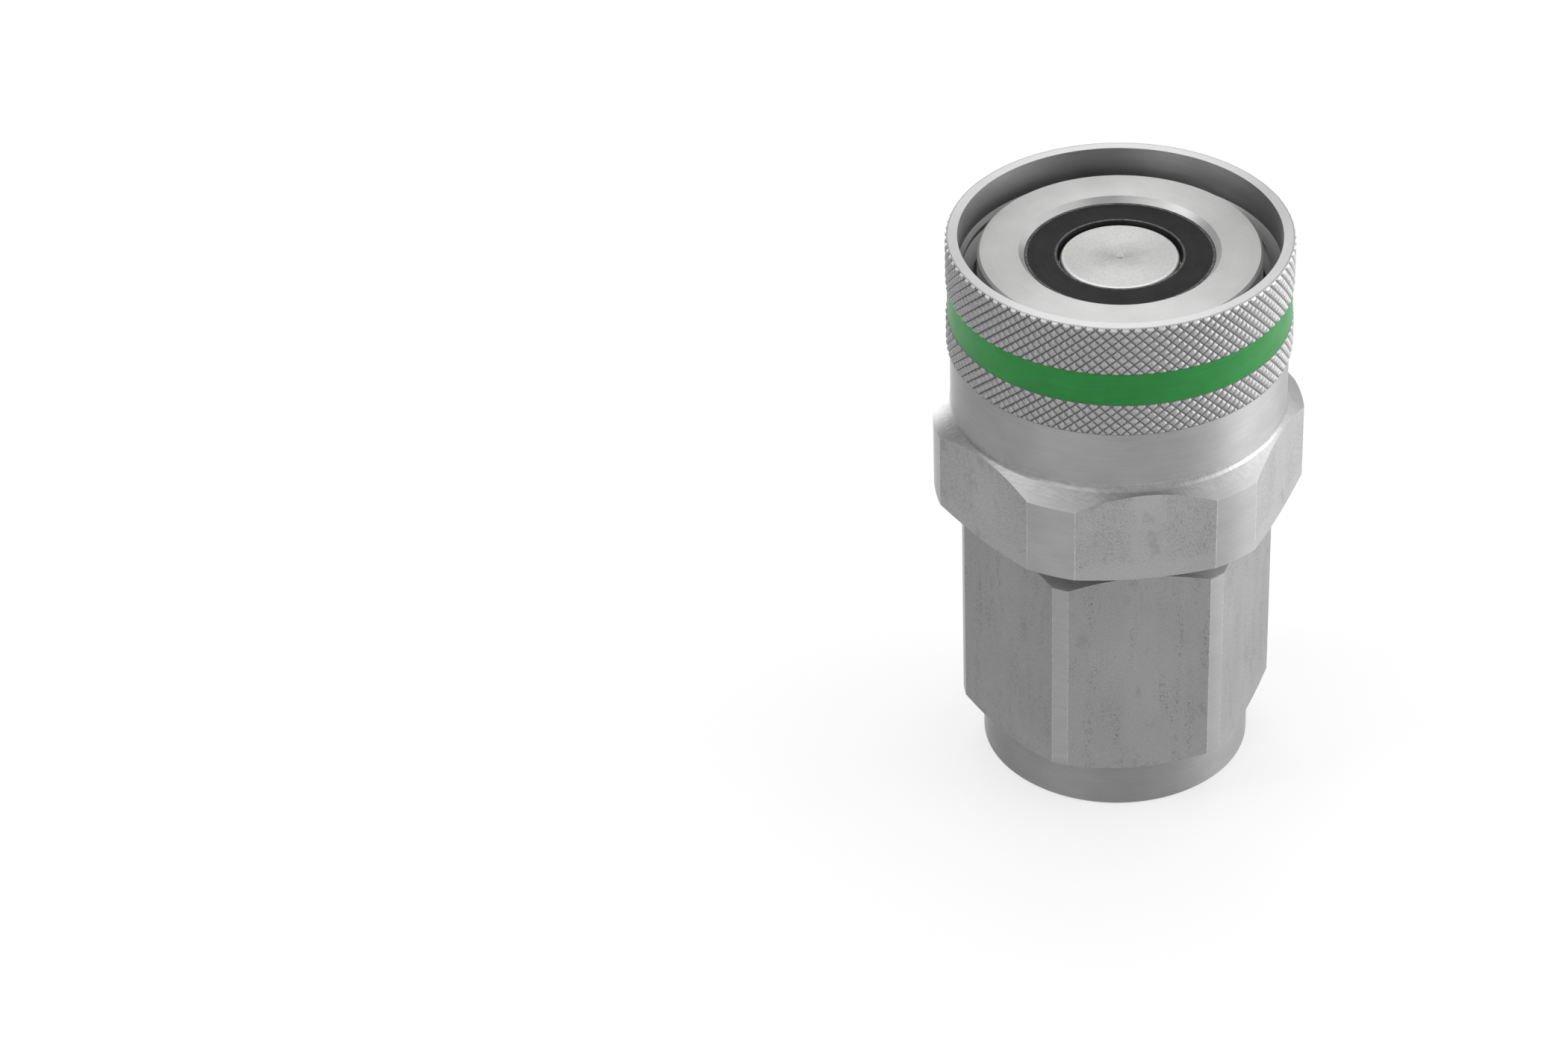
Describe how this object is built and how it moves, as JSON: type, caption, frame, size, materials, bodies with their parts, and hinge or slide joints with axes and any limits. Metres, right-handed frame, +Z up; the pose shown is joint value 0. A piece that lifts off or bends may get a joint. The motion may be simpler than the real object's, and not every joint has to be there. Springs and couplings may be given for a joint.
{
  "type": "flat face coupling",
  "caption": "Socket half of a screw-to-connect flat face hydraulic coupling, with a knurled hexagonal union nut that turns on a hexagonal body and a spring-loaded flush valve in its mouth.",
  "frame": {"origin": "centre of the round foot, in the plane of its end face", "axes": "+Z up along the coupling's axis towards its flat mating face, one flat of each hexagon faces -Y"},
  "size_m": [0.054, 0.05, 0.0882],
  "materials": {
    "plated_steel": "drawn and turned bar, zinc plated, satin",
    "turned_steel": "fine turned and plated, satin",
    "plain_steel": "turned steel",
    "dark_steel": "blackened steel",
    "spring_steel": "drawn spring wire",
    "black_rubber": "nitrile rubber",
    "black_face": "hard black sealing ring, matte",
    "white_backup": "white backup ring plastic",
    "green_plastic": "green plastic, semi-gloss"
  },
  "bodies": {
    "fixed_body": {"rear_body": "plated_steel", "body_seal": "black_rubber", "front_body": "plated_steel", "stem_spider": "plain_steel", "stem": "turned_steel", "stem_clip": "spring_steel", "tube_seal": "black_rubber", "tube_backup_ring": "white_backup", "nut_wire_ring": "spring_steel", "spring_washer": "plain_steel", "front_ring_clip": "spring_steel", "front_ring_spring": "spring_steel", "sleeve_spring": "spring_steel"},
    "nut": {"union_nut": "plated_steel", "colour_band": "green_plastic", "nut_dust_seal": "black_rubber"},
    "ring_slide": {"front_ring": "turned_steel"},
    "sleeve_slide": {"seal_sleeve": "dark_steel", "face_seal": "black_face", "sleeve_seal": "black_rubber", "sleeve_backup_ring": "white_backup"}
  },
  "joints": [
    {"name": "nut_turn", "type": "hinge", "parent": "fixed_body", "child": "nut", "pos_m": [0, 0, 0.05], "axis": [0, 0, 1], "continuous": true},
    {"name": "front_ring_push", "type": "slide", "parent": "fixed_body", "child": "ring_slide", "axis": [0, 0, -1], "range_m": [0, 0.01], "stiffness_N_per_m": 3000, "springref_m": -0.008, "deforming": ["front_ring_spring"]},
    {"name": "sleeve_push", "type": "slide", "parent": "fixed_body", "child": "sleeve_slide", "axis": [0, 0, -1], "range_m": [0, 0.016], "stiffness_N_per_m": 2500, "springref_m": -0.01, "deforming": ["sleeve_spring"]}
  ]
}
